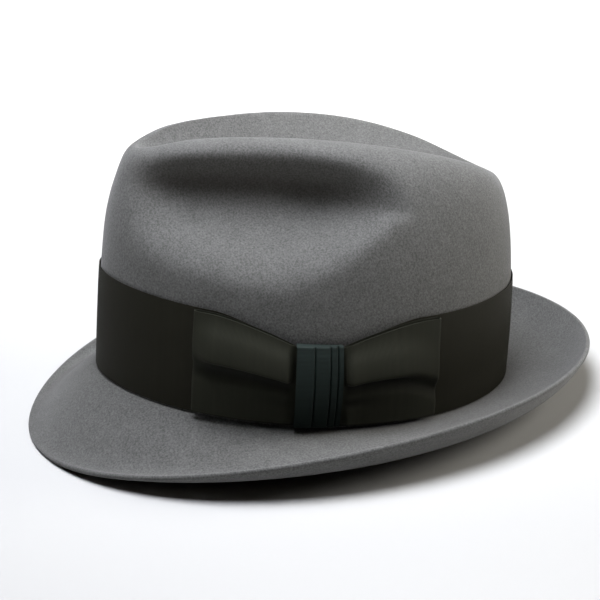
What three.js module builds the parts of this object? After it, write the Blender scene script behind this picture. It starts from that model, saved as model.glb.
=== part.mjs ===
// A felt trilby, size 58, lying on its brim as it would on a table.
// Units are millimetres. +Z is up, the front of the hat is -Y and the wearer's left is +X.
// The origin is on the table, under the middle of the hat's box.
import * as THREE from 'three';

// The head hollow, measured inside the felt
const HEAD_LENGTH = 203.2;
const HEAD_WIDTH = 165.2;

// The felt, and the small gap that separate pieces keep
const FELT = 2.4;
const GAP = 0.3;

// The crown, measured up from the line where it meets the brim
const CROWN_HEIGHT = 122;
const FOOT_SADDLE = 2.4;
const FOOT_RADIUS = 1.2;
const RIDGE_SETBACK = { front: 15, rear: 16 };
const CREASE_DEPTH = 27;
const CREASE_SETBACK = { front: 29, rear: 36 };

// How far the crease rolls over at the ridge, from a sharp crest (0) to a level one (1)
const CREASE_ROLL = 0.3;

// How far the wall keeps out, and keeps up, before it turns over the shoulder, as shares, and how
// far it leans out over its foot
const SHOULDER_OUT = { front: 0.9, side: 0.66, rear: 0.55 };
const SHOULDER_UP = { front: 0.58, side: 0.68, rear: 0.75 };
const WALL_BULGE = { front: 0, side: 3, rear: 1 };

// The ridge round the teardrop crease, from the front (-1) to the rear (1): its half width as a
// share of the crown's, its height as a share of the crown's, and its depth as a share of the crease's
const RIDGE = [
  { along: -1.0, width: 0.341, height: 0.918, depth: 0.37 },
  { along: -0.75, width: 0.341, height: 0.974, depth: 0.78 },
  { along: -0.4, width: 0.394, height: 0.998, depth: 1.0 },
  { along: 0.0, width: 0.494, height: 0.997, depth: 1.0 },
  { along: 0.4, width: 0.612, height: 0.966, depth: 0.82 },
  { along: 0.75, width: 0.706, height: 0.905, depth: 0.56 },
  { along: 1.0, width: 0.776, height: 0.828, depth: 0.3 },
];

// The pinch on each side of the front half: how deep it is pressed in, its middle as shares of the
// crown's half length and height, and how far it reaches each way as shares of the same. Towards
// both ends its lower edge rises by its narrowing and its upper edge falls by its taper, and it is
// pulled back along the hat only a little. The ridge's own margin, a share of the wall, is left round
const PINCH_DEPTH = 30;
const PINCH = { along: -0.4, height: 0.777, front: 0.61, rear: 0.67, up: 0.29, down: 0.325 };
const PINCH_SHARPNESS = { front: 3.2, rear: 1.9 };
const PINCH_NARROWING = { front: 0.3, rear: 1.2 };
const PINCH_LEAST = 0.1;
const PINCH_TAPER = 0.45;
const NARROWING_CURVE = 1.5;
const PINCH_PULL_BACK = 0.3;
const RIDGE_MARGIN = 0.07;

// The brim: its width seen from above, how high its edge ends over the crown's foot, and how much
// of that rise is the curl of its outer part and the small lip at the very edge
const BRIM_WIDTH = { front: 32.3, side: 46.8, rear: 36.6 };
const BRIM_RISE = { front: -30.4, side: 7, rear: 25.4 };
const BRIM_CURL = { front: 3.5, side: 11.2, rear: 6 };
const BRIM_BEND = { front: 1.35, side: 1, rear: 1.25 };
const CURL_START = 0.64;
const CURL_SHARPNESS = 2.2;
const BRIM_LIP = 1;
const LIP_START = 0.88;

// The grosgrain ribbon of the band, the bow and the knot
const RIBBON = 0.7;
const BAND_HEIGHT = 50.1;
const BAND_SADDLE = 2.8;
const BAND_LIFT = 0.9;

// The bow, on the wearer's left, a little forward of the middle
const BOW_ANGLE = -11.9;
const BOW_LENGTH = 117;
const BOW_LIFT = 2.8;
const BOW_DIP = 10.2;
const BOW_DIP_REACH = 0.85;
const BOW_DIP_CURVE = 1.6;
const BOW_TOP_DROP = 0.6;
const BOW_SPACE = 1.6;
const BOW_FOLD = 2;
const BAND_EXTRA_DIP = 3;

// The wings' rounded upper fold, which drops more steeply below than above, the valley under it,
// and the small gather by the knot, their heights and reaches as shares of the wing's height. Both
// lines fall towards the wing's end, and the fold sinks there from where the wing starts to close
const WINGS = {
  front: { fold: 0.655, valley: 0.475, fall: 0.03, rise: 4.6, sink: 1.4, closing: 0.8, gather: 0.4 },
  rear: { fold: 0.63, valley: 0.48, fall: 0.22, rise: 4.2, sink: 1.4, closing: 0.5, gather: 1.1 },
};
const FOLD_ABOVE = 0.4;
const FOLD_BELOW = 0.18;
const VALLEY_REACH = 0.17;
const FALL_CURVE = 3;
const END_SINK = 0.75;
const GATHER_AT = 0.27;
const GATHER_REACH = 0.11;
const GATHER_END = 0.5;

// Where along a wing it has opened
const WING_OPEN = 0.24;

// The knot, a pleated sleeve round the waist of the bow, its pleat lines as shares of its width.
// Its front stands out in a low arch
const KNOT_WIDTH = 20.5;
const KNOT_STEP = 0.8;
const KNOT_BULGE = 2.6;
const KNOT_PLEATS = [0.385, 0.72, 0.885];
const PLEAT_EDGE = 0.03;

// How far the felt is pressed flat where the hat lies on the table
const REST_PRESS = 0.7;

// How finely the surfaces are divided. The bow's rows lie close together at its folds
const AROUND = 56;
const BAND_AROUND = 80;
const CREASE_ROWS = 7;
const WALL_ROWS = 11;
const FOOT_ROWS = 3;
const BRIM_ROWS = 8;
const EDGE_ROWS = 5;
const BAND_ROWS = 4;
const WING_STEPS = 8;
const BOW_HEIGHTS = [0, 0.2, 0.3, 0.4, 0.48, 0.56, 0.63, 0.7, 0.8, 0.9, 1];
const KNOT_STEPS = 8;
const END_FOLD_COLUMNS = [0.5, 0.85, 1];

// A small step along a surface for its slope, how near the crease's seam a slope is taken, and
// how often a search halves its range
const SLOPE_STEP = 0.001;
const SEAM_MARGIN = 0.02;
const HALVINGS = 32;

const HALF_LENGTH = HEAD_LENGTH / 2 + FELT;
const HALF_WIDTH = HEAD_WIDTH / 2 + FELT;
const QUARTER = Math.PI / 2;

// A value that is named at the front, the sides and the rear, at any angle round the hat
function around({ front, side, rear }, angle) {
  const s = Math.sin(angle);
  return side + ((rear - front) / 2) * s + ((rear + front) / 2 - side) * s * s;
}

// A smooth curve through one column of the ridge table
function ridgeShare(column, along) {
  const last = RIDGE.length - 1;
  let i = 0;
  while (i < last - 1 && RIDGE[i + 1].along < along) i += 1;
  const a = RIDGE[i];
  const b = RIDGE[i + 1];
  const span = b.along - a.along;
  const u = (along - a.along) / span;
  const slope = (k) => {
    const before = RIDGE[Math.max(k - 1, 0)];
    const after = RIDGE[Math.min(k + 1, last)];
    return (after[column] - before[column]) / (after.along - before.along);
  };
  const keep = u * u * (3 - 2 * u);
  const leave = span * (u ** 3 - 2 * u * u + u);
  const arrive = span * (u ** 3 - u * u);
  return a[column] * (1 - keep) + b[column] * keep + slope(i) * leave + slope(i + 1) * arrive;
}

// 0 to 1 with level ends
function ease(u) {
  const k = THREE.MathUtils.clamp(u, 0, 1);
  return k * k * (3 - 2 * k);
}

// 1 in the middle, falling smoothly to 0 at a distance of 1
function mound(u) {
  return Math.abs(u) < 1 ? (1 - u * u) ** 3 : 0;
}

// The line where the crown meets the brim, an oval that dips at the sides
function footLine(angle) {
  return new THREE.Vector3(
    HALF_WIDTH * Math.cos(angle),
    HALF_LENGTH * Math.sin(angle),
    -FOOT_SADDLE * Math.cos(2 * angle),
  );
}

// The level direction straight out of the crown's foot
function outward(angle) {
  return new THREE.Vector3(HALF_LENGTH * Math.cos(angle), HALF_WIDTH * Math.sin(angle), 0).normalize();
}

// A point at a share s from the front end (-1) to the rear end (1) of a line set back from the foot
function setBackLine(setback, s) {
  const front = -HALF_LENGTH + setback.front;
  const rear = HALF_LENGTH - setback.rear;
  return (front + rear) / 2 + ((rear - front) / 2) * s;
}

// The top of the crown's wall, a teardrop
function ridge(angle) {
  const s = Math.sin(angle);
  const width = ridgeShare('width', s) * HALF_WIDTH;
  const height = ridgeShare('height', s) * CROWN_HEIGHT;
  return new THREE.Vector3(width * Math.cos(angle), setBackLine(RIDGE_SETBACK, s), height);
}

// The bottom line of the crease, which runs along the middle of the hat
function creaseLine(angle) {
  const ends = {
    front: RIDGE_SETBACK.front + CREASE_SETBACK.front,
    rear: RIDGE_SETBACK.rear + CREASE_SETBACK.rear,
  };
  return setBackLine(ends, Math.sin(angle));
}

// The crease, from its bottom line (0) to the ridge (1)
function crease(angle, u) {
  const top = ridge(angle);
  const y = creaseLine(angle);
  const depth = ridgeShare('depth', Math.sin(angle)) * CREASE_DEPTH;
  const risen = CREASE_ROLL * ease(u) + (1 - CREASE_ROLL) * u * u;
  return new THREE.Vector3(top.x * u, y + (top.y - y) * u, top.z - depth * (1 - risen));
}

// The wall without its pinches, from the ridge (0) down to just above the foot (1)
function smoothWall(angle, u) {
  const top = ridge(angle);
  const foot = footLine(angle);
  foot.z += FOOT_RADIUS;
  const shoulder = top.clone().lerp(foot, around(SHOULDER_OUT, angle));
  shoulder.z = top.z;
  const waist = foot.clone().addScaledVector(outward(angle), around(WALL_BULGE, angle));
  waist.z += (top.z - foot.z) * around(SHOULDER_UP, angle);
  return new THREE.CubicBezierCurve3(top, shoulder, waist, foot).getPoint(u);
}

// The wall with the pinches pressed in
function wall(angle, u) {
  const point = smoothWall(angle, u);
  const fromMiddle = point.y / HALF_LENGTH - PINCH.along;
  const fromHeight = point.z / CROWN_HEIGHT - PINCH.height;
  const end = fromMiddle < 0 ? 'front' : 'rear';
  const lengthwise = Math.abs(fromMiddle) / PINCH[end];
  const narrower = lengthwise ** NARROWING_CURVE;
  const down = PINCH.down * Math.max(PINCH_LEAST, 1 - PINCH_NARROWING[end] * narrower);
  const up = PINCH.up * (1 - PINCH_TAPER * Math.min(narrower, 1));
  const upright = fromHeight / (fromHeight > 0 ? up : down);
  const hollow = mound(lengthwise ** PINCH_SHARPNESS[end]) * mound(upright);
  const press = PINCH_DEPTH * hollow * ease(u / RIDGE_MARGIN);
  const inward = new THREE.Vector3(-point.x, creaseLine(angle) - point.y, 0).normalize();
  point.x += press * inward.x;
  point.y += press * inward.y * PINCH_PULL_BACK;
  return point;
}

// The upper face of the brim, from the foot (0) to its edge (1)
function brim(angle, u) {
  const curl = around(BRIM_CURL, angle);
  const rise = around(BRIM_RISE, angle) - footLine(angle).z;
  const curled = Math.max(0, (u - CURL_START) / (1 - CURL_START)) ** CURL_SHARPNESS;
  const lip = BRIM_LIP * Math.max(0, (u - LIP_START) / (1 - LIP_START)) ** 2;
  const point = footLine(angle).addScaledVector(outward(angle), around(BRIM_WIDTH, angle) * u);
  point.z += (rise - curl - BRIM_LIP) * u ** around(BRIM_BEND, angle) + curl * curled + lip;
  return point;
}

// The outer face of the felt in one run: crease 0 to 1, wall 1 to 2, foot 2 to 3, brim 3 to 4
const FACE_END = 4;
function outerFace(angle, s) {
  const brimStart = FOOT_RADIUS / around(BRIM_WIDTH, angle);
  if (s <= 1) return crease(angle, s);
  if (s <= 2) return wall(angle, s - 1);
  if (s <= 3) {
    const bend = new THREE.QuadraticBezierCurve3(wall(angle, 1), footLine(angle), brim(angle, brimStart));
    return bend.getPoint(s - 2);
  }
  return brim(angle, brimStart + (1 - brimStart) * (s - 3));
}

// The direction straight out of the outer face
function outerNormal(angle, s) {
  const at = THREE.MathUtils.clamp(s, SEAM_MARGIN, FACE_END - SLOPE_STEP);
  const down = outerFace(angle, at + SLOPE_STEP).sub(outerFace(angle, at - SLOPE_STEP));
  const round = outerFace(angle + SLOPE_STEP, at).sub(outerFace(angle - SLOPE_STEP, at));
  const normal = down.cross(round);
  if (s === 0) normal.x = 0;
  return normal.normalize();
}

// A closed solid from rows of points. Each row is a closed loop. wrap joins the last row to the
// first; otherwise the first and last rows each fold shut along the middle of the hat
function solidFromRows(rows, wrap) {
  const count = rows[0].length;
  const ends = wrap ? [] : [0, rows.length - 1];
  const index = (i, j) => {
    const row = i % rows.length;
    const column = j % count;
    const mirrored = ends.includes(row) && column > count / 2;
    return row * count + (mirrored ? count - column : column);
  };
  const positions = rows.flat().flatMap((point) => point.toArray());
  const triangles = [];
  const addTriangle = (a, b, c) => {
    if (a !== b && b !== c && c !== a) triangles.push(a, b, c);
  };
  for (let i = 0; i < rows.length - (wrap ? 0 : 1); i += 1) {
    for (let j = 0; j < count; j += 1) {
      addTriangle(index(i, j), index(i + 1, j), index(i + 1, j + 1));
      addTriangle(index(i, j), index(i + 1, j + 1), index(i, j + 1));
    }
  }
  const geometry = new THREE.BufferGeometry();
  geometry.setAttribute('position', new THREE.Float32BufferAttribute(positions, 3));
  geometry.setIndex(triangles);
  return geometry;
}

// Angles round the hat, from the front
const ANGLES = Array.from({ length: AROUND }, (_, j) => -QUARTER + (2 * Math.PI * j) / AROUND);

// The crown and brim, one blocked felt of even thickness with a rounded edge
function feltRows() {
  const zones = [CREASE_ROWS, WALL_ROWS, FOOT_ROWS, BRIM_ROWS];
  const stations = zones.flatMap((n, zone) => Array.from({ length: n }, (_, k) => zone + k / n));
  stations.push(zones.length);
  const outer = stations.map((s) => ANGLES.map((angle) => outerFace(angle, s)));
  const inner = stations.map((s) => ANGLES.map((angle) => (
    outerFace(angle, s).addScaledVector(outerNormal(angle, s), -FELT)
  )));
  const edge = Array.from({ length: EDGE_ROWS }, (_, k) => {
    const turn = (Math.PI * (k + 1)) / (EDGE_ROWS + 1);
    return ANGLES.map((angle) => {
      const normal = outerNormal(angle, FACE_END);
      const out = outerFace(angle, FACE_END).sub(outerFace(angle, FACE_END - SLOPE_STEP));
      out.addScaledVector(normal, -out.dot(normal)).normalize();
      return outerFace(angle, FACE_END)
        .addScaledVector(normal, (FELT / 2) * (Math.cos(turn) - 1))
        .addScaledVector(out, (FELT / 2) * Math.sin(turn));
    });
  });
  return [...outer, ...edge, ...inner.reverse()];
}

// A point over the crown's wall at a height above the foot plane, standing off the felt
function overWall(angle, height, standOff) {
  let high = 0;
  let low = 1;
  for (let k = 0; k < HALVINGS; k += 1) {
    const middle = (high + low) / 2;
    if (smoothWall(angle, middle).z > height) high = middle;
    else low = middle;
  }
  const point = smoothWall(angle, (high + low) / 2);
  point.z = height;
  return point.addScaledVector(outward(angle), standOff);
}

// Where the bow lies: its share from the front end (-1) to the rear end (1), and the way back
const bowMiddle = THREE.MathUtils.degToRad(BOW_ANGLE);
const bowHalfTurn = BOW_LENGTH / 2 / HALF_LENGTH;
const bowShare = (angle) => (angle - bowMiddle) / bowHalfTurn;
const bowAngle = (share) => bowMiddle + share * bowHalfTurn;

// The drop of an edge that is drawn down at the knot and lies level under it
const waistShare = KNOT_WIDTH / BOW_LENGTH;
function dip(share, depth) {
  const out = (Math.abs(share) - waistShare) / (BOW_DIP_REACH - waistShare);
  return depth * (1 - THREE.MathUtils.clamp(out, 0, 1)) ** BOW_DIP_CURVE;
}

const bandFull = (angle) => BAND_HEIGHT - BAND_SADDLE * Math.cos(2 * angle);
const bandTop = (angle) => (
  bandFull(angle) - dip(bowShare(angle), BOW_DIP + BAND_EXTRA_DIP)
);
const bowTop = (share) => (
  bandFull(bowAngle(share)) - BOW_TOP_DROP - dip(share, BOW_DIP)
);

// The ribbon band, a closed ring on the crown's foot
function bandRows() {
  const bandNear = GAP;
  const bandFar = GAP + RIBBON;
  const turn = (2 * Math.PI) / BAND_AROUND;
  const angles = Array.from({ length: BAND_AROUND }, (_, j) => j * turn - Math.PI);
  const row = (share, standOff) => angles.map((angle) => {
    const low = footLine(angle).z + BAND_LIFT;
    return overWall(angle, low + (bandTop(angle) - low) * share, standOff);
  });
  const shares = Array.from({ length: BAND_ROWS + 1 }, (_, k) => k / BAND_ROWS);
  return [
    ...shares.map((share) => row(1 - share, bandFar)),
    ...shares.map((share) => row(share, bandNear)),
  ];
}

// Layers at the waist, from the felt outwards: band, back of the knot, bow, front of the knot
const KNOT_BACK = GAP + RIBBON + GAP;
const BOW_BACK = KNOT_BACK + RIBBON + GAP;
const WAIST_DEPTH = 2 * RIBBON + GAP;

// How far the front of a wing stands proud of its back, at a share along and a share up
function wingDepth(share, up) {
  const wing = share < 0 ? WINGS.front : WINGS.rear;
  const out = Math.max(0, (Math.abs(share) - waistShare) / (1 - waistShare));
  const above = up + wing.fall * out ** FALL_CURVE;
  const open = ease((Math.abs(share) - waistShare) / (WING_OPEN - waistShare));
  const closing = 1 - END_SINK * ease((Math.abs(share) - wing.closing) / (1 - wing.closing));
  const fold = wing.rise * mound((above - wing.fold) / (above > wing.fold ? FOLD_ABOVE : FOLD_BELOW));
  const valley = wing.sink * mound((above - wing.valley) / VALLEY_REACH);
  const gather = wing.gather * mound((up - GATHER_AT) / GATHER_REACH) * (1 - ease(out / GATHER_END));
  return WAIST_DEPTH + open * (BOW_SPACE + closing * fold - valley - gather);
}

// The shares of the bow's columns, from its middle to one end, close together at the end's fold
const foldStart = 1 - BOW_FOLD / (BOW_LENGTH / 2);
const waistColumns = [0, waistShare / 2, waistShare + GAP / BOW_LENGTH];
const wingColumns = Array.from({ length: WING_STEPS }, (_, k) => (
  waistShare + ((foldStart - waistShare) * (k + 1)) / WING_STEPS
));
const foldColumns = END_FOLD_COLUMNS.map((k) => foldStart + (1 - foldStart) * k);
const halfColumns = [...waistColumns, ...wingColumns, ...foldColumns];

// The bow, a flat closed loop of ribbon: the front layer runs out to both ends and folds back
function bowRows() {
  const frontLayer = [...halfColumns.slice(1).reverse().map((share) => -share), ...halfColumns];
  const backLayer = frontLayer.slice(1, -1).reverse();
  const column = (share, layer, up, thickness) => {
    const round = Math.max(0, (Math.abs(share) - foldStart) / (1 - foldStart));
    const side = layer * Math.sqrt(1 - round * round);
    const angle = bowAngle(share * (1 - thickness / (BOW_LENGTH / 2)));
    const near = BOW_BACK - RIBBON * ease((Math.abs(share) - waistShare) / waistShare);
    const depth = wingDepth(share, up);
    const standOff = near + depth / 2 + side * (depth / 2 - thickness);
    const low = footLine(angle).z + BOW_LIFT;
    return overWall(angle, low + (bowTop(share) - low) * up, standOff);
  };
  const row = (up, thickness) => [
    ...frontLayer.map((share) => column(share, 1, up, thickness)),
    ...backLayer.map((share) => column(share, -1, up, thickness)),
  ];
  return [
    ...BOW_HEIGHTS.toReversed().map((up) => row(up, 0)),
    ...BOW_HEIGHTS.map((up) => row(up, RIBBON)),
  ];
}

// The way round the waist of the bow: out is across its layers, up is along its height, and the
// corners are rounded by the distance that the path keeps
function roundWaist(halfDepth, halfHeight, keep) {
  const corners = [[1, 1], [-1, 1], [-1, -1], [1, -1]];
  return corners.flatMap(([out, up], k) => {
    const bend = [0, 0.5, 1].map((turn) => ({
      out: out * halfDepth + keep * Math.cos((k + turn) * QUARTER),
      up: up * halfHeight + keep * Math.sin((k + turn) * QUARTER),
    }));
    if (k % 2 === 0) return bend;
    const side = Array.from({ length: KNOT_STEPS - 1 }, (_, i) => ({
      out: out * (halfDepth + keep),
      up: up * halfHeight * (1 - (2 * (i + 1)) / KNOT_STEPS),
    }));
    return [...bend, ...side];
  });
}

// The knot, a sleeve of ribbon round the bow's waist with pleats down its front
function knotRows() {
  const row = (across, keep) => {
    const covered = KNOT_PLEATS.filter((line) => across < line).length;
    const share = (across * 2 - 1) * waistShare;
    const angle = bowAngle(share);
    const low = footLine(angle).z + BOW_LIFT;
    const halfHeight = (bowTop(share) - low) / 2;
    return roundWaist(WAIST_DEPTH / 2, halfHeight, keep).map(({ out, up }) => {
      const arch = KNOT_BULGE * Math.max(0, 1 - (up / halfHeight) ** 2);
      const step = out > WAIST_DEPTH / 2 + GAP ? covered * KNOT_STEP + arch : 0;
      const middle = BOW_BACK + WAIST_DEPTH / 2;
      return overWall(angle, low + halfHeight + up, middle + out + step);
    });
  };
  const lines = [0, ...KNOT_PLEATS.flatMap((line) => [line - PLEAT_EDGE, line]), 1];
  return [
    ...lines.map((across) => row(across, GAP + RIBBON)),
    ...lines.reverse().map((across) => row(across, GAP)),
  ];
}

// The pose that the hat takes on a table: pitched back until its front edge and the rear of its
// foot are level, and pressed flat by REST_PRESS where it touches
function restingPose(points) {
  const lowest = (pitch, rear) => Math.min(...points
    .filter((point) => (point.y > 0) === rear)
    .map((point) => point.z * Math.cos(pitch) - point.y * Math.sin(pitch)));
  let less = 0;
  let more = QUARTER / 2;
  for (let k = 0; k < HALVINGS; k += 1) {
    const pitch = (less + more) / 2;
    if (lowest(pitch, false) < lowest(pitch, true)) less = pitch;
    else more = pitch;
  }
  return { pitch: less, drop: lowest(less, false) + REST_PRESS };
}

const felt = feltRows();
const rest = restingPose(felt.flat());
const turned = new THREE.Matrix4().makeRotationX(-rest.pitch);
turned.premultiply(new THREE.Matrix4().makeTranslation(0, 0, -rest.drop));
const lying = (rows) => rows.map((row) => row.map((point) => point.clone().applyMatrix4(turned)));

const feltLying = lying(felt).map((row) => row.map((point) => point.setZ(Math.max(point.z, 0))));
const footprint = new THREE.Box3().setFromPoints(feltLying.flat());
const middleY = (footprint.min.y + footprint.max.y) / 2;

function piece(name, geometry, color, roughness) {
  const material = new THREE.MeshStandardMaterial({ color, roughness, metalness: 0 });
  const mesh = new THREE.Mesh(geometry, material);
  mesh.name = name;
  return mesh;
}

const hat = new THREE.Group();
hat.name = 'trilby';
hat.position.set(0, -middleY, 0);
hat.add(piece('felt_body', solidFromRows(feltLying, false), '#6f6f6c', 0.95));
hat.add(piece('ribbon_band', solidFromRows(lying(bandRows()), true), '#1c1b14', 0.8));
hat.add(piece('bow', solidFromRows(lying(bowRows()), true), '#22231b', 0.75));
hat.add(piece('bow_knot', solidFromRows(lying(knotRows()), true), '#1c2421', 0.75));
hat.updateMatrixWorld(true);

export default hat;
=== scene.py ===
# %% [markdown]
# A grey felt trilby with a dark ribbon band and a flat bow, seen from the wearer's left.
# The real hat is one felt hood, blocked over a wooden form, with a crease and two pinches pressed
# in by hand, and a grosgrain ribbon sewn round the foot of the crown.
# The shape could be sculpted or simulated as cloth. It is computed here instead, from a few named
# sizes, because a blocked hat is a smooth form that is known by its sections.

# %% Load the frame
import math
import bpy
import numpy as np
from mathutils import Matrix, Vector


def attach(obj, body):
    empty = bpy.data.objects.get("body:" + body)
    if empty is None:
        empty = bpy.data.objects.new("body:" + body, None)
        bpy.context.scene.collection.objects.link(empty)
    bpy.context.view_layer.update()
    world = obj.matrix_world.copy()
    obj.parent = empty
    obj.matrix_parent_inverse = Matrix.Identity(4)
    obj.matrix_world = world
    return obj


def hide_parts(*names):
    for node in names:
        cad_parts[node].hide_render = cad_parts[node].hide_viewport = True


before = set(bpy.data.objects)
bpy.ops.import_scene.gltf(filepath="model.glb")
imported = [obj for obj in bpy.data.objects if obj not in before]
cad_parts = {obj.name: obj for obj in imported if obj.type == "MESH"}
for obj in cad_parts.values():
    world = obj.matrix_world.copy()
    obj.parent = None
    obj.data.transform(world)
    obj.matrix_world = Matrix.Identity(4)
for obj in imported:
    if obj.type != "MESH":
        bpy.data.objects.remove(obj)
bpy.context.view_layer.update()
MM = 0.001
print("frame:", sorted(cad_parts))

# %% [markdown]
# The sizes of the real hat, in millimetres, the same ones that its solids are built from.
# A size that differs at the front, the sides and the rear is a triple in that order. The outer
# part of the brim curls up, and a low lip runs along its very edge.

# %% Sizes of the felt
HEAD_LENGTH = 203.2
HEAD_WIDTH = 165.2
FELT = 2.4
GAP = 0.3
CROWN_HEIGHT = 122.0
FOOT_SADDLE = 2.4
FOOT_RADIUS = 1.2
RIDGE_SETBACK = (15.0, 16.0)
CREASE_DEPTH = 27.0
CREASE_SETBACK = (29.0, 36.0)
CREASE_ROLL = 0.3
SHOULDER_OUT = (0.9, 0.66, 0.55)
SHOULDER_UP = (0.58, 0.68, 0.75)
WALL_BULGE = (0.0, 3.0, 1.0)
BRIM_WIDTH = (32.3, 46.8, 36.6)
BRIM_RISE = (-30.4, 7.0, 25.4)
BRIM_CURL = (3.5, 11.2, 6.0)
BRIM_BEND = (1.35, 1.0, 1.25)
CURL_START = 0.64
CURL_SHARPNESS = 2.2
BRIM_LIP = 1.0
LIP_START = 0.88
HALF_LENGTH = HEAD_LENGTH / 2 + FELT
HALF_WIDTH = HEAD_WIDTH / 2 + FELT
print("felt outside:", 2 * HALF_LENGTH, "by", 2 * HALF_WIDTH, "mm at the foot")

# %% [markdown]
# The ridge round the teardrop crease is a closed line on top of the crown. Seven sections along
# the hat give its half width, its height and the depth of the crease, as shares of the crown's.
# The pinches are two soft hollows in the front half, given by their middle, reach and depth. They
# narrow and taper away from their middle, as a hollow pressed in by two fingers does.

# %% Sections of the ridge, and the pinches
RIDGE = {
    "along": (-1.0, -0.75, -0.4, 0.0, 0.4, 0.75, 1.0),
    "width": (0.341, 0.341, 0.394, 0.494, 0.612, 0.706, 0.776),
    "height": (0.918, 0.974, 0.998, 0.997, 0.966, 0.905, 0.828),
    "depth": (0.37, 0.78, 1.0, 1.0, 0.82, 0.56, 0.3),
}
PINCH = {"along": -0.4, "height": 0.777, "front": 0.61, "rear": 0.67, "up": 0.29, "down": 0.325}
PINCH_NARROWING = {"front": 0.3, "rear": 1.2}
PINCH_LEAST = 0.1
PINCH_TAPER = 0.45
NARROWING_CURVE = 1.5
PINCH_DEPTH = 30.0
PINCH_SHARPNESS = {"front": 3.2, "rear": 1.9}
PINCH_PULL_BACK = 0.3
RIDGE_MARGIN = 0.07

# %% [markdown]
# Small helpers turn those numbers into smooth curves. An array of angles goes in and an array of
# values comes out, so a whole row of the mesh is worked out at once.

# %% Curves round the hat
def around(sizes, angle):
    front, side, rear = sizes
    s = np.sin(angle)
    return side + (rear - front) / 2 * s + ((rear + front) / 2 - side) * s * s


def ease(u):
    k = np.clip(u, 0, 1)
    return k * k * (3 - 2 * k)


def mound(u):
    return np.where(np.abs(u) < 1, (1 - u * u) ** 3, 0)


def ridge_share(column, along):
    x, y = np.array(RIDGE["along"]), np.array(RIDGE[column])
    before = np.maximum(np.arange(len(x)) - 1, 0)
    after = np.minimum(np.arange(len(x)) + 1, len(x) - 1)
    slope = (y[after] - y[before]) / (x[after] - x[before])
    i = np.clip(np.searchsorted(x, along) - 1, 0, len(x) - 2)
    span = x[i + 1] - x[i]
    u = (along - x[i]) / span
    keep = u * u * (3 - 2 * u)
    leave = span * (u**3 - 2 * u * u + u)
    arrive = span * (u**3 - u * u)
    return y[i] * (1 - keep) + y[i + 1] * keep + slope[i] * leave + slope[i + 1] * arrive


def points(x, y, z):
    return np.stack(np.broadcast_arrays(x, y, z), axis=-1)


print("crown height in the middle:", round(float(ridge_share("height", 0.0)) * CROWN_HEIGHT, 1), "mm")

# %% [markdown]
# The lines that the felt hangs on: the foot, where the crown meets the brim, the ridge on top and
# the bottom of the crease. The foot dips a little at the sides, as a worn-in hat's does.

# %% Foot, ridge and crease lines
def foot_line(angle):
    height = -FOOT_SADDLE * np.cos(2 * angle)
    return points(HALF_WIDTH * np.cos(angle), HALF_LENGTH * np.sin(angle), height)


def outward(angle):
    way = points(HALF_LENGTH * np.cos(angle), HALF_WIDTH * np.sin(angle), 0.0)
    return way / np.linalg.norm(way, axis=-1, keepdims=True)


def set_back_line(front, rear, s):
    near, far = -HALF_LENGTH + front, HALF_LENGTH - rear
    return (near + far) / 2 + (far - near) / 2 * s


def ridge(angle):
    s = np.sin(angle)
    width = ridge_share("width", s) * HALF_WIDTH
    height = ridge_share("height", s) * CROWN_HEIGHT
    return points(width * np.cos(angle), set_back_line(*RIDGE_SETBACK, s), height)


def crease_line(angle):
    ends = [a + b for a, b in zip(RIDGE_SETBACK, CREASE_SETBACK)]
    return set_back_line(*ends, np.sin(angle))


# %% [markdown]
# The crease is a valley that opens from its bottom line to the ridge. The wall is a curve with
# four control points at each angle: level at the ridge, upright at the foot. The pinches then
# press it inwards, deepest under the ridge, so that the ridge hangs over them a little.

# %% Crease and wall
def crease(angle, u):
    top = ridge(angle)
    y = crease_line(angle)
    depth = ridge_share("depth", np.sin(angle)) * CREASE_DEPTH
    risen = CREASE_ROLL * ease(u) + (1 - CREASE_ROLL) * u * u
    return points(top[..., 0] * u, y + (top[..., 1] - y) * u, top[..., 2] - depth * (1 - risen))


def smooth_wall(angle, u):
    top, foot = ridge(angle), foot_line(angle)
    foot[..., 2] += FOOT_RADIUS
    shoulder = top + (foot - top) * around(SHOULDER_OUT, angle)[..., None]
    shoulder[..., 2] = top[..., 2]
    waist = foot + outward(angle) * around(WALL_BULGE, angle)[..., None]
    waist[..., 2] += (top[..., 2] - foot[..., 2]) * around(SHOULDER_UP, angle)
    u = np.asarray(u)[..., None]
    v = 1 - u
    return v**3 * top + 3 * v * v * u * shoulder + 3 * v * u * u * waist + u**3 * foot


def pinch_share(place, u):
    along = place[..., 1] / HALF_LENGTH - PINCH["along"]
    high = place[..., 2] / CROWN_HEIGHT - PINCH["height"]
    lengthwise = np.abs(along) / np.where(along < 0, PINCH["front"], PINCH["rear"])
    narrowing = np.where(along < 0, PINCH_NARROWING["front"], PINCH_NARROWING["rear"])
    sharpness = np.where(along < 0, PINCH_SHARPNESS["front"], PINCH_SHARPNESS["rear"])
    narrower = lengthwise**NARROWING_CURVE
    down = PINCH["down"] * np.maximum(PINCH_LEAST, 1 - narrowing * narrower)
    up = PINCH["up"] * (1 - PINCH_TAPER * np.minimum(narrower, 1))
    upright = high / np.where(high > 0, up, down)
    return mound(lengthwise**sharpness) * mound(upright) * ease(u / RIDGE_MARGIN), upright


def wall(angle, u):
    place = smooth_wall(angle, u)
    press = PINCH_DEPTH * pinch_share(place, u)[0]
    inward = points(-place[..., 0], crease_line(angle) - place[..., 1], 0.0)
    inward /= np.linalg.norm(inward, axis=-1, keepdims=True)
    inward[..., 1] *= PINCH_PULL_BACK
    return place + press[..., None] * inward


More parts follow.
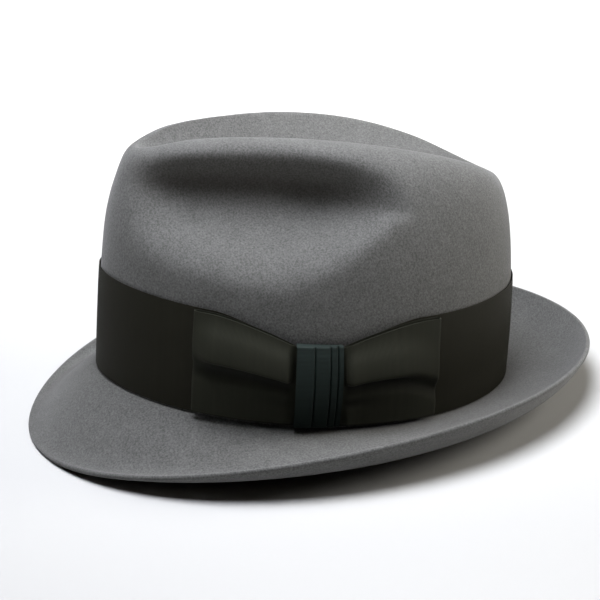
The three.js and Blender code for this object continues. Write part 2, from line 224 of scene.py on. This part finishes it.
# %% [markdown]
# The brim runs out from the foot. It falls at the front, where it is snapped down, and rises at
# the rear, and its outer part curls up all round, most of all at the sides. The whole outer face
# is then one sheet in four zones: s runs from 0 to 1 over the crease, to 2 down the wall, to 3
# round the bend at the foot and to 4 over the brim.

# %% Brim and outer face
ZONES = 4
NORMAL_STEP = 0.001
NORMAL_START = 0.02


def brim(angle, u):
    curl = around(BRIM_CURL, angle)
    foot = foot_line(angle)
    rise = around(BRIM_RISE, angle) - foot[..., 2]
    curled = np.maximum(0, (u - CURL_START) / (1 - CURL_START)) ** CURL_SHARPNESS
    lip = BRIM_LIP * np.maximum(0, (u - LIP_START) / (1 - LIP_START)) ** 2
    place = foot + outward(angle) * (around(BRIM_WIDTH, angle) * u)[..., None]
    place[..., 2] += (rise - curl - BRIM_LIP) * u ** around(BRIM_BEND, angle) + curl * curled + lip
    return place


def outer_face(angle, s):
    start = FOOT_RADIUS / around(BRIM_WIDTH, angle)
    bend = np.clip(s - 2, 0, 1)[..., None]
    first, corner, last = wall(angle, np.ones_like(s)), foot_line(angle), brim(angle, start)
    foot = (1 - bend) ** 2 * first + 2 * (1 - bend) * bend * corner + bend**2 * last
    zones = [
        crease(angle, np.clip(s, 0, 1)),
        wall(angle, np.clip(s - 1, 0, 1)),
        foot,
        brim(angle, start + (1 - start) * np.clip(s - 3, 0, 1)),
    ]
    zone = np.clip(np.ceil(s) - 1, 0, ZONES - 1)[..., None]
    return np.select([zone == k for k in range(ZONES)], zones)


def outer_normal(angle, s):
    at = np.clip(s, NORMAL_START, ZONES - NORMAL_STEP)
    down = outer_face(angle, at + NORMAL_STEP) - outer_face(angle, at - NORMAL_STEP)
    turn = outer_face(angle + NORMAL_STEP, at) - outer_face(angle - NORMAL_STEP, at)
    normal = np.cross(down, turn)
    normal[..., 0] = np.where(s == 0, 0, normal[..., 0])
    return normal / np.linalg.norm(normal, axis=-1, keepdims=True)


# %% [markdown]
# The felt is given its thickness by stepping in along the face's own direction, and the brim's
# raw edge is rounded over, as a cut and brushed felt edge is. A second value at each point is
# painted shade: it darkens the upper part of the pinches, under the ridge that hangs over them,
# where shade falls.

# %% Felt surface
FELT_COLUMNS = 240
FELT_ROWS = {"crease": 26, "wall": 56, "foot": 6, "brim": 34}
EDGE_ROWS = 9
PAINTED_SHADE_EDGE = 0.25


def felt_net():
    zones = [k + np.arange(n) / n for k, n in enumerate(FELT_ROWS.values())]
    stations = np.append(np.concatenate(zones), ZONES)
    angles = -math.pi / 2 + np.arange(FELT_COLUMNS) * 2 * math.pi / FELT_COLUMNS
    return np.meshgrid(stations, angles, indexing="ij")


def felt_grid():
    s, angle = felt_net()
    outer, normal = outer_face(angle, s), outer_normal(angle, s)
    inner = outer - FELT * normal
    out = outer[-1] - outer[-2]
    out -= np.sum(out * normal[-1], axis=-1, keepdims=True) * normal[-1]
    out /= np.linalg.norm(out, axis=-1, keepdims=True)
    turns = np.pi * (np.arange(EDGE_ROWS) + 1) / (EDGE_ROWS + 1)
    round_over = [(math.cos(a) - 1) * normal[-1] + math.sin(a) * out for a in turns]
    edge = [outer[-1] + FELT / 2 * way for way in round_over]
    return np.concatenate([outer, np.array(edge), inner[::-1]])


# Painted shade: a mask that darkens the felt in the upper part of the pinches, under the overhanging
# ridge.
def pinch_painted_shade():
    s, angle = felt_net()
    down = np.clip(s - 1, 0, 1)
    share, upright = pinch_share(smooth_wall(angle, down), down)
    under_ridge = share * ease((upright + PAINTED_SHADE_EDGE) / (2 * PAINTED_SHADE_EDGE))
    outer = np.where((s > 1) & (s < 2), under_ridge, 0)
    return np.concatenate([outer, np.zeros((EDGE_ROWS, FELT_COLUMNS)), outer[::-1]])


felt = felt_grid()
print("felt grid:", felt.shape)

# %% [markdown]
# The hat lies on a table. It is pitched back until the front edge of the brim and the rear of the
# foot touch, and the soft felt is pressed flat where it touches. The angle is found by halving:
# too little leaves the front edge lower than the rear, too much the other way round.

# %% Resting pose
REST_PRESS = 0.7
STEEPEST_PITCH = math.pi / 4
PITCH_HALVINGS = 40


def lowest(pitch, half):
    return np.min(half[:, 2] * math.cos(pitch) - half[:, 1] * math.sin(pitch))


def resting_pose(cloud):
    front, rear = cloud[cloud[:, 1] <= 0], cloud[cloud[:, 1] > 0]
    less, more = 0.0, STEEPEST_PITCH
    for _ in range(PITCH_HALVINGS):
        pitch = (less + more) / 2
        if lowest(pitch, front) < lowest(pitch, rear):
            less = pitch
        else:
            more = pitch
    return less, lowest(less, front) + REST_PRESS


PITCH, DROP = resting_pose(felt.reshape(-1, 3))


def lying(place):
    x, y, z = place[..., 0], place[..., 1], place[..., 2]
    up = z * math.cos(PITCH) - y * math.sin(PITCH) - DROP
    return points(x, y * math.cos(PITCH) + z * math.sin(PITCH), up)


felt_lying = lying(felt)
MIDDLE = (felt_lying[..., 1].min() + felt_lying[..., 1].max()) / 2
print("pitched back", round(math.degrees(PITCH), 2), "degrees, middle at", round(MIDDLE, 2), "mm")


def place_in_frame(place, floor=None):
    there = lying(place)
    if floor is not None:
        there[..., 2] = np.maximum(there[..., 2], floor)
    there[..., 1] -= MIDDLE
    return there * MM


# %% [markdown]
# Every piece here is a closed skin made of rows of points, so one function builds them all. A
# second map carries the ribbon's own length and height in metres, for its weave, and a value at
# each point carries painted shade: how far the felt under the ridge and the bow's creases are darkened.

# %% Meshes from rows
SHARP_ANGLE = 50


def skin(name, grid, material, wrap=True, lengths=None, painted_shade=None):
    rows, columns = grid.shape[:2]
    index = np.arange(rows * columns).reshape(rows, columns)
    if not wrap:
        mirror = (columns - np.arange(columns)) % columns
        half = np.arange(columns) > columns // 2
        for row in (0, rows - 1):
            index[row, half] = index[row, mirror[half]]
    below = np.roll(index, -1, axis=0) if wrap else index[1:]
    above = index if wrap else index[:-1]
    quads = np.stack([above, below, np.roll(below, -1, axis=1), np.roll(above, -1, axis=1)], axis=-1)
    mesh = bpy.data.meshes.new(name)
    mesh.from_pydata(grid.reshape(-1, 3), [], quads.reshape(-1, 4).tolist())
    if lengths is not None:
        layer = mesh.uv_layers.new(name="ribbon")
        corners = np.empty(len(mesh.loops), dtype=np.int32)
        mesh.loops.foreach_get("vertex_index", corners)
        layer.data.foreach_set("uv", lengths.reshape(-1, 2)[corners].astype(np.float32).ravel())
    # The painted shade value is stored on the points, for the materials to darken by.
    if painted_shade is not None:
        painted_shade_layer = mesh.attributes.new("painted_shade", "FLOAT", "POINT")
        painted_shade_layer.data.foreach_set("value", painted_shade.astype(np.float32).ravel())
    mesh.validate()
    mesh.shade_smooth()
    mesh.set_sharp_from_angle(angle=math.radians(SHARP_ANGLE))
    piece = bpy.data.objects.new(name, mesh)
    bpy.context.scene.collection.objects.link(piece)
    mesh.materials.append(material)
    print(name, "faces:", len(mesh.polygons))
    return piece


# %% [markdown]
# Materials. One function turns the colours that the eye reads into the linear ones that light is
# worked out with, and one small function adds a node with its settings and its links. A mix node
# keeps its inputs and its result at fixed places, which differ for colours and for plain numbers.

# %% Colour and node helpers
PAINTED_SHADE_SHARE = 0.75
MIX_SHARE = 0
COLOUR_FROM, COLOUR_TO, COLOUR_RESULT = 6, 7, 2
NUMBER_FROM, NUMBER_TO = 2, 3


def linear(code):
    shades = [int(code[k : k + 2], 16) / 255 for k in (1, 3, 5)]
    return tuple(c / 12.92 if c <= 0.04045 else ((c + 0.055) / 1.055) ** 2.4 for c in shades) + (1.0,)


def add_node(tree, kind, settings, inputs):
    made = tree.nodes.new(kind)
    for name, value in settings.items():
        setattr(made, name, value)
    for key, value in inputs.items():
        if isinstance(value, bpy.types.NodeSocket):
            tree.links.new(value, made.inputs[key])
        else:
            made.inputs[key].default_value = value
    return made


def new_material(name):
    material = bpy.data.materials.new(name)
    material.use_nodes = True
    return material, material.node_tree, material.node_tree.nodes["Principled BSDF"]


def set_values(shader, values):
    for name, value in values.items():
        shader.inputs[name].default_value = value


# Painted shade: mixes a surface's colour towards a dark one by the painted shade value at its points.
def painted_shade_colour(tree, colour, deepest):
    painted_shade = add_node(tree, "ShaderNodeAttribute", {"attribute_name": "painted_shade"}, {})
    amount = add_node(tree, "ShaderNodeMath", {"operation": "MULTIPLY"}, {
        0: painted_shade.outputs["Fac"],
        1: PAINTED_SHADE_SHARE,
    })
    mixed = add_node(tree, "ShaderNodeMix", {"data_type": "RGBA"}, {
        MIX_SHARE: amount.outputs[0],
        COLOUR_FROM: colour,
        COLOUR_TO: linear(deepest),
    })
    return mixed.outputs[COLOUR_RESULT]


# %% [markdown]
# Fur felt: rabbit fur, dyed in the bulk, matted by steam and brushed. Fibres of slightly
# different greys give a fine salt and pepper grain about a millimetre across, broader soft
# clouds, and a matt nap that turns a little light at a grazing angle. The single hairs are finer
# than the picture can show, so the grain is drawn at the size at which it clumps. Under the ridge
# in the pinches the felt is painted darker and browner, as painted shade.

# %% Felt material
FELT_GRAIN = {"Scale": 1 / (0.9 * MM), "Detail": 3.0, "Roughness": 0.65}
FELT_CLOUD = {"Scale": 1 / (9 * MM), "Detail": 2.0}
CLOUD_SHARE = 0.12
GRAIN_DARKEST = 0.35
GRAIN_LIGHTEST = 0.65
NAP_BUMP = {"Strength": 0.5, "Distance": 0.3 * MM}
# The last felt colour is the painted shade under the ridge.
FELT_COLOURS = {"dark": "#424240", "light": "#61615f", "painted_shade": "#2a2622"}
FELT_FINISH = {
    "Roughness": 0.95,
    "Specular IOR Level": 0.2,
    "Sheen Weight": 0.15,
    "Sheen Roughness": 0.5,
}


def felt_material():
    material, tree, shader = new_material("fur_felt_brushed")
    where = add_node(tree, "ShaderNodeTexCoord", {}, {}).outputs["Object"]
    grain = add_node(tree, "ShaderNodeTexNoise", {}, {"Vector": where, **FELT_GRAIN})
    cloud = add_node(tree, "ShaderNodeTexNoise", {}, {"Vector": where, **FELT_CLOUD})
    both = add_node(tree, "ShaderNodeMix", {"data_type": "FLOAT"}, {
        MIX_SHARE: CLOUD_SHARE,
        NUMBER_FROM: grain.outputs["Fac"],
        NUMBER_TO: cloud.outputs["Fac"],
    })
    spread = add_node(tree, "ShaderNodeMapRange", {}, {
        "Value": both.outputs[0],
        "From Min": GRAIN_DARKEST,
        "From Max": GRAIN_LIGHTEST,
    })
    shade = add_node(tree, "ShaderNodeMix", {"data_type": "RGBA"}, {
        MIX_SHARE: spread.outputs[0],
        COLOUR_FROM: linear(FELT_COLOURS["dark"]),
        COLOUR_TO: linear(FELT_COLOURS["light"]),
    })
    with_painted_shade = painted_shade_colour(tree, shade.outputs[COLOUR_RESULT], FELT_COLOURS["painted_shade"])
    tree.links.new(with_painted_shade, shader.inputs["Base Color"])
    nap = add_node(tree, "ShaderNodeBump", {}, {**NAP_BUMP, "Height": grain.outputs["Fac"]})
    tree.links.new(nap.outputs[0], shader.inputs["Normal"])
    set_values(shader, FELT_FINISH)
    return material


# %% [markdown]
# Rayon grosgrain: a ribbon with thick weft cords under a fine warp, so it shows ribs across its
# width. The real ribs are about half a millimetre apart. The ribs are drawn at that size, and a
# faint broader streak of shade stands for the uneven tension of the cords. The bow's creases are
# painted nearly black, as painted shade, and the knot's piece is a little greener than the others.

# %% Ribbon material
RIB = 0.55 * MM
RIB_BUMP = {"Strength": 0.35, "Distance": 0.12 * MM}
STREAK = {"Scale": 1 / (2.5 * MM), "Detail": 4.0}
# Colour of the painted shade in the bow's creases.
RIBBON_PAINTED_SHADE = "#050504"
RIBBON_FINISH = {"Roughness": 0.75, "Specular IOR Level": 0.15}
ALONG, UPWARD = 0, 1


def ribbon_material(name, dark, light, ribs_along):
    material, tree, shader = new_material(name)
    uv = add_node(tree, "ShaderNodeUVMap", {"uv_map": "ribbon"}, {}).outputs[0]
    parts = add_node(tree, "ShaderNodeSeparateXYZ", {}, {0: uv})
    run = parts.outputs[ribs_along]
    turns = add_node(tree, "ShaderNodeMath", {"operation": "MULTIPLY"}, {0: run, 1: 2 * math.pi / RIB})
    wave = add_node(tree, "ShaderNodeMath", {"operation": "SINE"}, {0: turns.outputs[0]})
    streak = add_node(tree, "ShaderNodeTexNoise", {"noise_dimensions": "1D"}, {"W": run, **STREAK})
    shade = add_node(tree, "ShaderNodeMix", {"data_type": "RGBA"}, {
        MIX_SHARE: streak.outputs["Fac"],
        COLOUR_FROM: linear(dark),
        COLOUR_TO: linear(light),
    })
    painted_crease_shade = painted_shade_colour(tree, shade.outputs[COLOUR_RESULT], RIBBON_PAINTED_SHADE)
    tree.links.new(painted_crease_shade, shader.inputs["Base Color"])
    ribs = add_node(tree, "ShaderNodeBump", {}, {**RIB_BUMP, "Height": wave.outputs[0]})
    tree.links.new(ribs.outputs[0], shader.inputs["Normal"])
    set_values(shader, RIBBON_FINISH)
    return material


felt_cloth = felt_material()
band_cloth = ribbon_material("grosgrain_band", "#1a1910", "#1e1d14", ALONG)
bow_cloth = ribbon_material("grosgrain_bow", "#21221a", "#27281f", ALONG)
knot_cloth = ribbon_material("grosgrain_knot", "#151d1a", "#1d2724", UPWARD)
print("materials:", [m.name for m in (felt_cloth, band_cloth, bow_cloth, knot_cloth)])

# %% [markdown]
# The felt body replaces its plain solid, in the same place.

# %% Felt body
FELT_FLOOR = 0.0
hood_points = place_in_frame(felt, FELT_FLOOR)
body = skin("felt_hood", hood_points, felt_cloth, wrap=False, painted_shade=pinch_painted_shade())
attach(body, "root")
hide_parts("felt_body")

# %% [markdown]
# The ribbon is laid on the crown's wall. To place a point of it, the height at which it lies is
# looked up on the wall, and the point is then moved out by the layers under it. Each layer has
# room for the solid ribbon of the part, and the cloth that shows in it is thinner, as real
# grosgrain is.

# %% Ribbon laid on the wall
RIBBON = 0.7
RIBBON_CLOTH = 0.4
WALL_HALVINGS = 24


def over_wall(angle, height, stand_off):
    high, low = np.zeros_like(angle), np.ones_like(angle)
    for _ in range(WALL_HALVINGS):
        middle = (high + low) / 2
        above = smooth_wall(angle, middle)[..., 2] > height
        high, low = np.where(above, middle, high), np.where(above, low, middle)
    place = smooth_wall(angle, (high + low) / 2)
    place[..., 2] = height
    return place + outward(angle) * np.asarray(stand_off)[..., None]


# %% [markdown]
# The bow dips at its knot, and so does the band's top edge under it, which is drawn down by the
# same stitches. Lengths are in millimetres. The bow's angle is in degrees from the wearer's left
# and is below zero towards the front. The reach of the dip is a share of the bow's half length.

# %% Edges of the band and the bow
BAND_HEIGHT = 50.1
BAND_SADDLE = 2.8
BAND_EXTRA_DIP = 3.0
BOW_ANGLE = -11.9
BOW_LENGTH = 117.0
BOW_DIP = 10.2
BOW_DIP_REACH = 0.85
BOW_DIP_CURVE = 1.6
BOW_TOP_DROP = 0.6
KNOT_WIDTH = 20.5
bow_middle = math.radians(BOW_ANGLE)
bow_half_turn = BOW_LENGTH / 2 / HALF_LENGTH
waist_share = KNOT_WIDTH / BOW_LENGTH


def bow_share(angle):
    return (angle - bow_middle) / bow_half_turn


def bow_angle(share):
    return bow_middle + share * bow_half_turn


def dip(share, depth):
    out = np.clip((np.abs(share) - waist_share) / (BOW_DIP_REACH - waist_share), 0, 1)
    return depth * (1 - out) ** BOW_DIP_CURVE


def band_full(angle):
    return BAND_HEIGHT - BAND_SADDLE * np.cos(2 * angle)


def band_top(angle):
    return band_full(angle) - dip(bow_share(angle), BOW_DIP + BAND_EXTRA_DIP)


def bow_top(share):
    return band_full(bow_angle(share)) - BOW_TOP_DROP - dip(share, BOW_DIP)


# %% [markdown]
# The band is a closed ring, and its two skins are the ribbon's faces. Its foot stands a little
# above the bend between crown and brim.

# %% Ribbon band
BAND_LIFT = 0.9
BAND_COLUMNS = 720
BAND_ROWS = 24


def band_grid():
    angles = -math.pi + np.arange(BAND_COLUMNS) * 2 * math.pi / BAND_COLUMNS
    shares = np.arange(BAND_ROWS + 1) / BAND_ROWS
    low = foot_line(angles)[:, 2] + BAND_LIFT
    tall = band_top(angles) - low
    rows = [(1 - share, GAP + RIBBON) for share in shares]
    rows += [(share, GAP + RIBBON - RIBBON_CLOTH) for share in shares]
    made = [over_wall(angles, low + tall * share, np.full_like(angles, off)) for share, off in rows]
    run = angles * (HALF_LENGTH + HALF_WIDTH) / 2
    lengths = [points(run, tall * share, 0.0)[:, :2] for share, _ in rows]
    return np.array(made), np.array(lengths) * MM


band_points, band_lengths = band_grid()
band = skin("band_ring", place_in_frame(band_points), band_cloth, lengths=band_lengths)
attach(band, "root")
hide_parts("ribbon_band")

# %% [markdown]
# The bow is a flat loop of ribbon. Its front layer has a rounded fold along the top of each wing
# and a valley under it, both drawn together at the waist. The fold hangs over the valley a
# little, as soft ribbon does, and a small gather runs out from the knot below them. A pair of
# values is for the front wing and the rear wing. The fold, the valley, their reaches and the
# gather's place are shares of the bow's height, and the depths are in millimetres.

# %% Form of the bow's wings
BOW_SPACE = 1.6
WINGS = {
    "fold": (0.655, 0.63),
    "valley": (0.475, 0.48),
    "fall": (0.03, 0.22),
    "rise": (4.6, 4.2),
    "sink": (1.4, 1.4),
    "closing": (0.8, 0.5),
    "gather": (0.4, 1.1),
}
FOLD_DROOP = 3.0
DROOP_ABOVE = 0.2
FOLD_ABOVE = 0.4
FOLD_BELOW = 0.18
VALLEY_REACH = 0.17
WING_OPEN = 0.24
FALL_CURVE = 3
END_SINK = 0.75
GATHER_AT = 0.27
GATHER_REACH = 0.11
GATHER_END = 0.5
WAIST_DEPTH = 2 * RIBBON + GAP


def wing_form(share, up):
    sizes = {name: np.where(share < 0, *pair) for name, pair in WINGS.items()}
    out = np.maximum(0, (np.abs(share) - waist_share) / (1 - waist_share))
    fold, valley = [sizes[name] - sizes["fall"] * out**FALL_CURVE for name in ("fold", "valley")]
    open_up = ease((np.abs(share) - waist_share) / (WING_OPEN - waist_share))
    closing = 1 - END_SINK * ease((np.abs(share) - sizes["closing"]) / (1 - sizes["closing"]))
    raised = sizes["rise"] * mound((up - fold) / np.where(up > fold, FOLD_ABOVE, FOLD_BELOW))
    sunk = sizes["sink"] * mound((up - valley) / VALLEY_REACH)
    gathered = sizes["gather"] * mound((up - GATHER_AT) / GATHER_REACH) * (1 - ease(out / GATHER_END))
    droop = FOLD_DROOP * mound((up - fold) / np.where(up > fold, DROOP_ABOVE, FOLD_BELOW))
    depth = WAIST_DEPTH + open_up * (BOW_SPACE + closing * raised - sunk - gathered)
    # Painted shade: the valley and the gather under the fold are darkened, less towards the ends.
    painted_crease_shade = mound((up - valley) / VALLEY_REACH) + gathered / np.max(WINGS["gather"])
    shaded = np.minimum(painted_crease_shade, 1) * (closing + END_SINK) / (1 + END_SINK)
    return depth, open_up * closing * droop, open_up * shaded


print("waist of the bow:", round(WAIST_DEPTH, 2), "mm deep")
print("wings of the bow:", round(WAIST_DEPTH + BOW_SPACE, 2), "mm deep between fold and valley")

# %% [markdown]
# The loop is laid out once round: along the front layer, round the turn at one end, back along the
# rear layer and round the other end. The turns at the ends are half circles.

# %% Bow
BOW_LIFT = 2.8
BOW_FOLD = 2.0
KNOT_BACK = GAP + RIBBON + GAP
BOW_BACK = KNOT_BACK + RIBBON + GAP
BOW_ROWS = 56
WAIST_COLUMNS = 12
WING_COLUMNS = 60
TURN_COLUMNS = 9
fold_start = 1 - BOW_FOLD / (BOW_LENGTH / 2)


def bow_grid():
    half = np.concatenate([
        np.linspace(0, waist_share, WAIST_COLUMNS, endpoint=False),
        np.linspace(waist_share, fold_start, WING_COLUMNS, endpoint=False),
        fold_start + (1 - fold_start) * np.sin(np.linspace(0, math.pi / 2, TURN_COLUMNS)),
    ])
    front = np.concatenate([-half[:0:-1], half])
    share = np.concatenate([front, front[-2:0:-1]])
    layer = np.concatenate([np.ones(len(front)), -np.ones(len(front) - 2)])
    curve = np.maximum(0, (np.abs(share) - fold_start) / (1 - fold_start))
    side = layer * np.sqrt(np.maximum(0, 1 - curve * curve))
    near = BOW_BACK - RIBBON * ease((np.abs(share) - waist_share) / waist_share)

    def row(up, thickness):
        angle = bow_angle(share * (1 - thickness / (BOW_LENGTH / 2)))
        depth, droop, painted_crease_shade = wing_form(share, up)
        low = foot_line(angle)[:, 2] + BOW_LIFT
        height = low + (bow_top(share) - low) * up - droop
        place = over_wall(angle, height, near + depth / 2 + side * (depth / 2 - thickness))
        # Only the front layer carries the painted shade of the creases.
        return place, height, painted_crease_shade * np.maximum(side, 0)

    ups = np.arange(BOW_ROWS + 1) / BOW_ROWS
    made = [row(1 - up, 0.0) for up in ups] + [row(up, RIBBON_CLOTH) for up in ups]
    places, heights, crease_shades = zip(*made)
    lengths = [points(share * BOW_LENGTH / 2, height, 0.0)[:, :2] for height in heights]
    return np.array(places), np.array(lengths) * MM, np.array(crease_shades)


bow_points, bow_lengths, bow_painted_shade = bow_grid()
bow = skin("bow_loop", place_in_frame(bow_points), bow_cloth, lengths=bow_lengths, painted_shade=bow_painted_shade)
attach(bow, "root")
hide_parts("bow")

# %% [markdown]
# The knot is a sleeve of ribbon round the waist, laid in pleats that overlap like steps. A narrow
# groove beside each step is the shadow line where one pleat tucks under the next. The pleats'
# places and the reach of their edges and grooves are shares of the knot's width.

# %% Knot
KNOT_STEP = 0.8
KNOT_BULGE = 2.6
KNOT_PLEATS = (0.385, 0.72, 0.885)
PLEAT_EDGE = 0.03
PLEAT_GROOVE = 0.035
GROOVE_DEPTH = 1.0
KNOT_COLUMNS = 120
KNOT_SIDE = 30
CORNER_POINTS = 5


def round_waist(keep):
    corners = [(1, 1), (-1, 1), (-1, -1), (1, -1)]
    path = []
    for k, (out, up) in enumerate(corners):
        for turn in np.linspace(k, k + 1, CORNER_POINTS) * math.pi / 2:
            path.append((out * WAIST_DEPTH / 2 + keep * math.cos(turn), up, keep * math.sin(turn)))
        if k % 2 == 1:
            for i in range(1, KNOT_SIDE):
                path.append((out * (WAIST_DEPTH / 2 + keep), up * (1 - 2 * i / KNOT_SIDE), 0.0))
    return np.array(path)


def knot_grid():
    def row(across, keep):
        path = round_waist(keep)
        covered = sum(float(ease((line - across) / PLEAT_EDGE)) for line in KNOT_PLEATS)
        groove = GROOVE_DEPTH * sum(float(mound((across - line) / PLEAT_GROOVE)) for line in KNOT_PLEATS)
        share = (across * 2 - 1) * waist_share
        angle = np.full(len(path), bow_angle(share))
        low = foot_line(angle)[:, 2] + BOW_LIFT
        half = (bow_top(share) - low) / 2
        in_front = path[:, 0] > WAIST_DEPTH / 2 + GAP
        arch = KNOT_BULGE * (1 - path[:, 1] ** 2)
        step = np.where(in_front, covered * KNOT_STEP + arch - groove, 0)
        height = low + half + path[:, 1] * half + path[:, 2]
        middle = BOW_BACK + WAIST_DEPTH / 2
        return over_wall(angle, height, middle + path[:, 0] + step), height

    across = np.linspace(0, 1, KNOT_COLUMNS + 1)
    made = [(a, *row(a, GAP + RIBBON)) for a in across]
    made += [(a, *row(a, GAP + RIBBON - RIBBON_CLOTH)) for a in across[::-1]]
    grid = np.array([place for _, place, _ in made])
    lengths = np.array([points(a * KNOT_WIDTH, height, 0.0)[:, :2] for a, _, height in made])
    return grid, lengths * MM


knot_points, knot_lengths = knot_grid()
knot = skin("knot_sleeve", place_in_frame(knot_points), knot_cloth, lengths=knot_lengths)
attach(knot, "root")
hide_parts("bow_knot")

# %% [markdown]
# The ribbon pieces were cut flat: the band is a little longer than the crown's foot is round, the
# bow is one strip that is folded back at both ends, and the knot goes once round its waist.

# %% [markdown]
# The camera stands on the wearer's left, a little forward and a little above, where the
# photograph was taken from. It was found in the hat's own upright frame, so it is turned with the
# hat into the pose in which the hat lies. Lengths are in millimetres, angles in degrees, and the
# focal length is in pixels of the photograph, which is how far a lens spreads the picture.

# %% Camera
CAMERA_DISTANCE = 800.0
CAMERA_TURN = 18.59
CAMERA_RISE = 15.41
CAMERA_ROLL = 3.14
CAMERA_TARGET = (0.0, -3.72, 34.07)
FOCAL_PIXELS = 1599.7
PICTURE_PIXELS = 600
SENSOR = 36.0
CLIP_START = 0.01


def camera_matrix():
    turn, rise, roll = (math.radians(a) for a in (CAMERA_TURN, CAMERA_RISE, CAMERA_ROLL))
    back = Vector((math.cos(turn) * math.cos(rise), -math.sin(turn) * math.cos(rise), math.sin(rise)))
    place = Vector(CAMERA_TARGET) + back * CAMERA_DISTANCE
    right = (-back).cross(Vector((0, 0, 1))).normalized()
    up = right.cross(-back)
    across = right * math.cos(roll) + up * math.sin(roll)
    upward = up * math.cos(roll) - right * math.sin(roll)
    upright = Matrix((across, upward, back)).transposed().to_4x4()
    upright.translation = place
    pose = Matrix.Translation((0, -MIDDLE, -DROP)) @ Matrix.Rotation(-PITCH, 4, "X")
    there = pose @ upright
    there.translation *= MM
    return there


camera_data = bpy.data.cameras.new("camera")
camera_data.sensor_width = SENSOR
camera_data.lens = SENSOR * FOCAL_PIXELS / PICTURE_PIXELS
camera_data.clip_start = CLIP_START
camera = bpy.data.objects.new("camera", camera_data)
camera.matrix_world = camera_matrix()
bpy.context.scene.collection.objects.link(camera)
bpy.context.scene.camera = camera
print("camera at", [round(v, 3) for v in camera.matrix_world.translation])

# %% [markdown]
# A plain pale floor, a broad soft lamp above the hat, a weaker one behind it and a dim even sky, as
# in a light tent. The other lamps hang over the floor and point straight down. They light it
# white all round, so that the hat stands on a clean ground from every side, and they are too
# narrow and too far out to change the light on the hat much. Places are in metres and power is
# in watts.

# %% Floor and light
FLOOR_COLOUR = "#b2b2b0"
FLOOR_HALF = 6.0
FLOOR_FINISH = {"Roughness": 1.0, "Specular IOR Level": 0.0}
SKY_COLOUR = "#ffe2c0"
SKY_STRENGTH = 0.01
LAMPS = {
    "overhead_softbox": {
        "place": (0.02, -0.03, 0.65), "target": (0, 0, 0.05),
        "size": 0.5, "power": 10.4, "spread": 180, "colour": "#f5f7ff",
    },
    "rear_softbox": {
        "place": (0.2, 0.75, 0.36), "target": (0, 0, 0.06),
        "size": 0.5, "power": 5.0, "spread": 180, "colour": "#fffaf2",
    },
    "background_softbox": {
        "place": (-1.35, 0.45, 1.3), "target": (-1.35, 0.45, 0),
        "size": 1.6, "power": 40.0, "spread": 80, "colour": "#ffffff",
    },
    "foreground_softbox": {
        "place": (0.68, -0.15, 0.6), "target": (0.68, -0.15, 0),
        "size": 0.6, "power": 2.4, "spread": 50, "colour": "#ffffff",
    },
}
FLOOR_LAMP = {"spread": 60, "colour": "#ffffff"}
FLOOR_RINGS = {
    "near": {
        "turns": (0, 60, 120, 240, 300), "distance": 1.95,
        "height": 1.3, "size": 2.1, "power": 34.0,
    },
    "far": {
        "turns": range(0, 360, 45), "distance": 3.9,
        "height": 2.0, "size": 3.2, "power": 90.0,
    },
}


def build_stage():
    material, _, shader = new_material("matt_paper_floor")
    set_values(shader, {"Base Color": linear(FLOOR_COLOUR), **FLOOR_FINISH})
    mesh = bpy.data.meshes.new("floor")
    corners = [(x * FLOOR_HALF, y * FLOOR_HALF, 0) for x, y in ((-1, -1), (1, -1), (1, 1), (-1, 1))]
    mesh.from_pydata(corners, [], [(0, 1, 2, 3)])
    mesh.materials.append(material)
    floor = bpy.data.objects.new("floor", mesh)
    bpy.context.scene.collection.objects.link(floor)


def add_lamp(name, place, target, size, power, spread, colour):
    data = bpy.data.lights.new(name, "AREA")
    data.shape = "DISK"
    data.size = size
    data.energy = power
    data.color = linear(colour)[:3]
    data.spread = math.radians(spread)
    lamp = bpy.data.objects.new(name, data)
    lamp.location = place
    lamp.rotation_euler = (Vector(target) - Vector(place)).to_track_quat("-Z", "Y").to_euler()
    bpy.context.scene.collection.objects.link(lamp)


build_stage()
for lamp_name, lamp_set in LAMPS.items():
    add_lamp(lamp_name, **lamp_set)
for ring_name, ring in FLOOR_RINGS.items():
    for turn in ring["turns"]:
        x = ring["distance"] * math.cos(math.radians(turn))
        y = ring["distance"] * math.sin(math.radians(turn))
        place, under = (x, y, ring["height"]), (x, y, 0)
        lamp_name = f"{ring_name}_floor_softbox_{turn}"
        add_lamp(lamp_name, place, under, ring["size"], ring["power"], **FLOOR_LAMP)
world = bpy.data.worlds.new("sky")
world.use_nodes = True
world.node_tree.nodes["Background"].inputs[0].default_value = linear(SKY_COLOUR)
world.node_tree.nodes["Background"].inputs[1].default_value = SKY_STRENGTH
bpy.context.scene.world = world
bpy.context.scene.view_settings.view_transform = "Standard"
